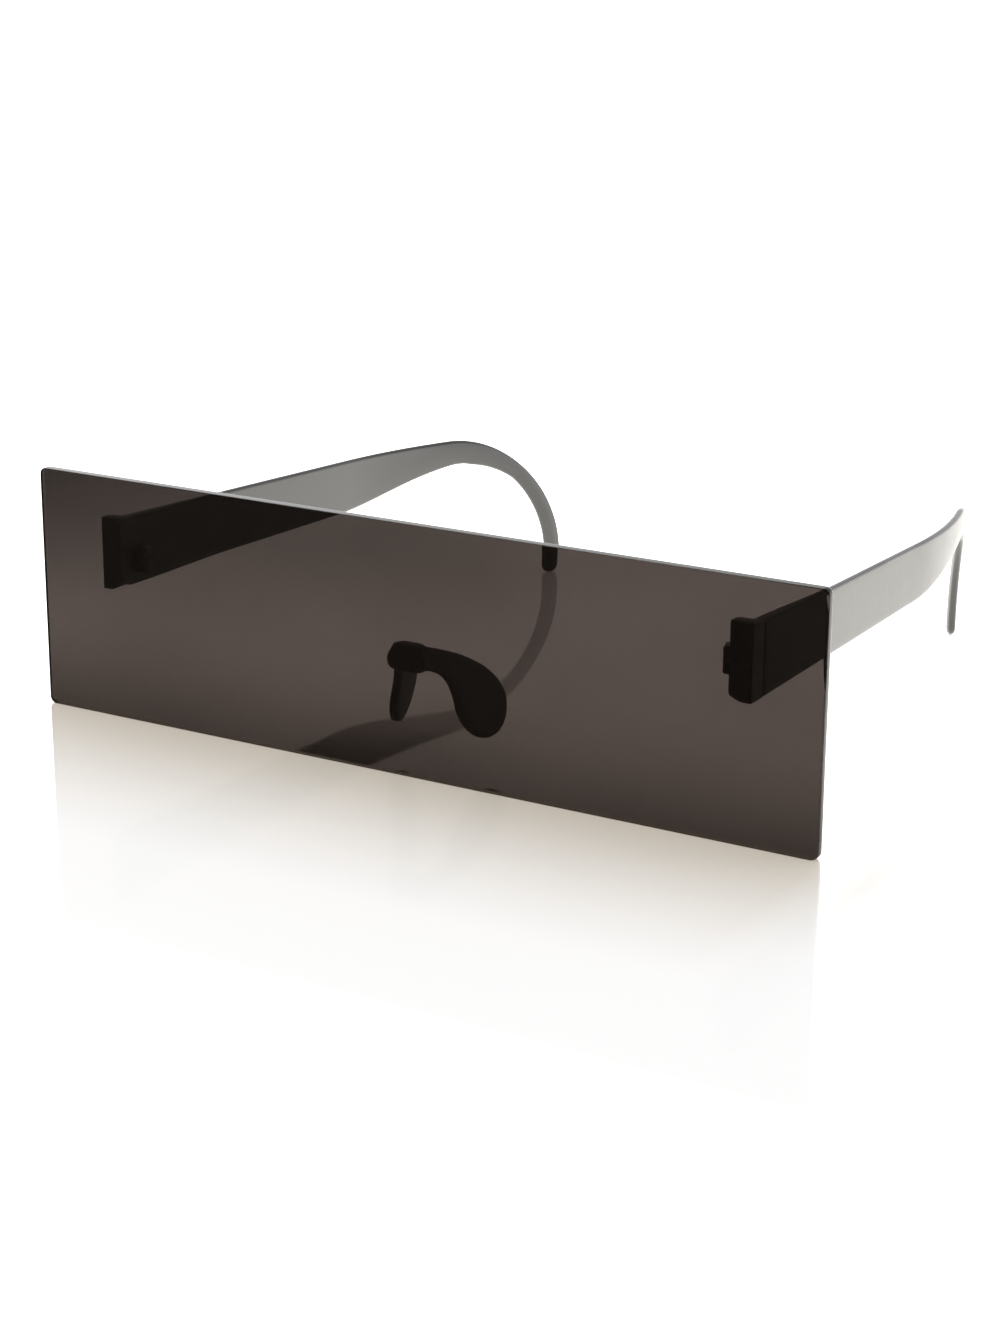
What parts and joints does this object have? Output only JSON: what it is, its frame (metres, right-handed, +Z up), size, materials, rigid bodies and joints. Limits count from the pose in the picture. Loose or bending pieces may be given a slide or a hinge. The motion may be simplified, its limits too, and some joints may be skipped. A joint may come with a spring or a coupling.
{
  "type": "novelty sunglasses",
  "caption": "Rimless shield sunglasses: a flat, dark rectangular lens with a moulded nose bridge, end pieces and folding temples that end in ear hooks.",
  "frame": {"origin": "on the surface that the glasses stand on, under the middle of their outline with the temples open", "axes": "+X towards the wearer's left, +Y back along the temples towards the ears, +Z up"},
  "size_m": [0.15, 0.128, 0.043],
  "materials": {
    "tinted_lens": "polished, see-through grey-brown tint",
    "nose_plastic": "black, soft gloss",
    "end_plastic": "black, soft gloss",
    "temple_plastic": "satin dark grey",
    "hinge_metal": "stamped and tumbled",
    "screw_metal": "nickel plated"
  },
  "bodies": {
    "front": {"lens": "tinted_lens", "nose_bridge": "nose_plastic", "end_piece_left": "end_plastic", "end_piece_right": "end_plastic", "front_hinge_left": "hinge_metal", "front_hinge_right": "hinge_metal", "hinge_screw_left": "screw_metal", "hinge_screw_right": "screw_metal"},
    "left_temple": {"temple_left": "temple_plastic", "temple_hinge_left": "hinge_metal"},
    "right_temple": {"temple_right": "temple_plastic", "temple_hinge_right": "hinge_metal"}
  },
  "joints": [
    {"name": "left_temple_fold", "type": "hinge", "parent": "front", "child": "left_temple", "pos_m": [0.0569, -0.05783, 0.0279], "axis": [0, 0, 1], "range_deg": [0, 86]},
    {"name": "right_temple_fold", "type": "hinge", "parent": "front", "child": "right_temple", "pos_m": [-0.0569, -0.05783, 0.0279], "axis": [0, 0, -1], "range_deg": [0, 76]}
  ]
}
